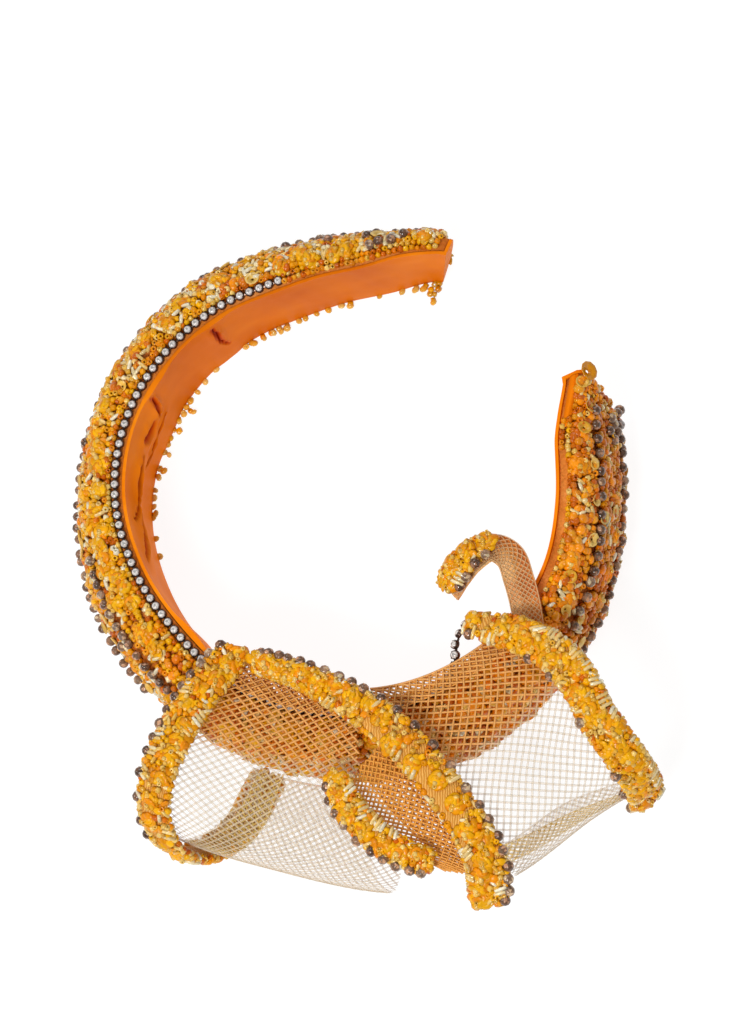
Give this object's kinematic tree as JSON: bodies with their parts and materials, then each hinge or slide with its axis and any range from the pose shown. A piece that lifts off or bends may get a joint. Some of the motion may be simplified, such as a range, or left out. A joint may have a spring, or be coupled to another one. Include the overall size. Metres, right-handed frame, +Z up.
{
  "type": "crystal headband with a net bow",
  "caption": "Padded headband under amber bead embroidery, with an orange satin lining, a cup-set crystal chain and a beaded bow of stiff gold net, lying on its side.",
  "frame": {"origin": "centre of the bottom of the box round the whole part, on the surface that it lies on", "axes": "+Z up from that surface, across the band's width; +Y towards the band's crown; +X towards its plain ear side, away from the bow"},
  "size_m": [0.2234, 0.1958, 0.0555],
  "materials": {
    "pad_cloth": "orange-brown cloth over padding, matte",
    "orange_satin": "orange satin with a soft sheen",
    "amber_beads": "glossy amber seed beads, bugles and sequins, sewn close together",
    "clear_crystal": "clear cut stones in dark metal cups",
    "smoke_crystal": "faceted smoky brown glass beads",
    "gold_net": "stiff square net of tan gold thread"
  },
  "bodies": {
    "root": {"pad": "pad_cloth", "bead_layer": "amber_beads", "lining": "orange_satin", "crystal_chain": "clear_crystal", "ridge_string_left": "smoke_crystal", "flank_string_left": "smoke_crystal", "flank_string_right": "smoke_crystal", "ridge_string_right": "smoke_crystal", "left_wing": "gold_net", "right_wing": "gold_net", "ribbon_end": "gold_net", "crossing_roll": "amber_beads", "flap_roll": "amber_beads", "left_mouth_roll": "amber_beads", "right_mouth_roll": "amber_beads", "tail": "gold_net", "tail_roll": "amber_beads"}
  },
  "joints": []
}
